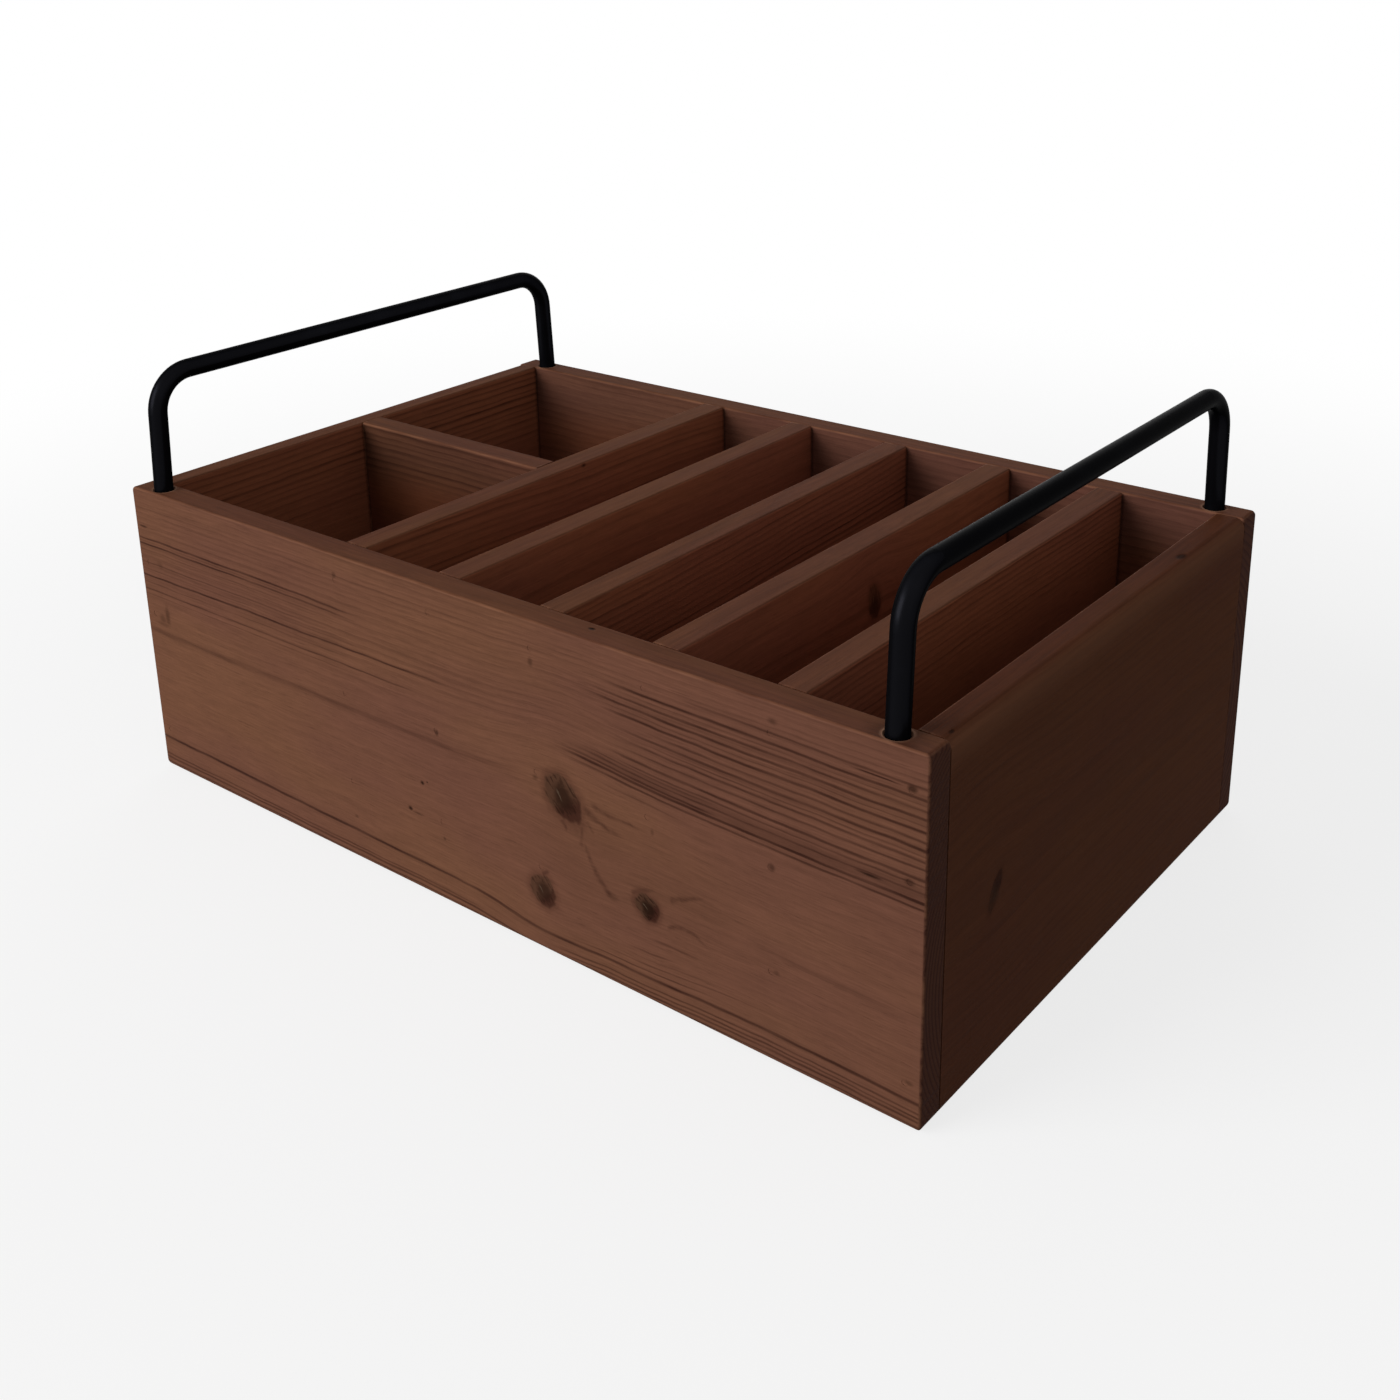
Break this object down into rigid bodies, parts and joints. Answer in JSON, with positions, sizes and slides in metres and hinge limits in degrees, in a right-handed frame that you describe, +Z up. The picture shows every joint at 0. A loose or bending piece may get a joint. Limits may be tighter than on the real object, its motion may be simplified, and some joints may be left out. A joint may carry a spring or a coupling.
{
  "type": "utensil box",
  "caption": "Open stained wooden utensil box with fixed dividers that make narrow slots and wider compartments, and a bent rod carrying handle over each end.",
  "frame": {"origin": "middle of the base, on the surface that the box stands on", "axes": "+X along the box towards the narrow slots, -Y towards the front, +Z up"},
  "size_m": [0.398, 0.25, 0.1885],
  "materials": {
    "stained_pine": "dark brown stain, matt",
    "stained_ply": "dark brown stain, matt",
    "black_coat": "satin black coating",
    "nail_steel": "dull, stained over"
  },
  "bodies": {
    "root": {"front_board": "stained_pine", "back_board": "stained_pine", "left_end_board": "stained_pine", "right_end_board": "stained_pine", "cross_divider_1": "stained_pine", "cross_divider_2": "stained_pine", "cross_divider_3": "stained_pine", "cross_divider_4": "stained_pine", "cross_divider_5": "stained_pine", "short_divider": "stained_pine", "bottom_panel": "stained_ply", "left_handle": "black_coat", "right_handle": "black_coat", "front_left_corner_nails": "nail_steel", "front_right_corner_nails": "nail_steel", "back_left_corner_nails": "nail_steel", "back_right_corner_nails": "nail_steel", "cross_divider_1_nails": "nail_steel", "cross_divider_2_nails": "nail_steel", "cross_divider_3_nails": "nail_steel", "cross_divider_4_nails": "nail_steel", "cross_divider_5_nails": "nail_steel", "short_divider_outer_nails": "nail_steel", "short_divider_inner_nails": "nail_steel", "panel_edge_brads": "nail_steel", "panel_divider_brads": "nail_steel"}
  },
  "joints": []
}
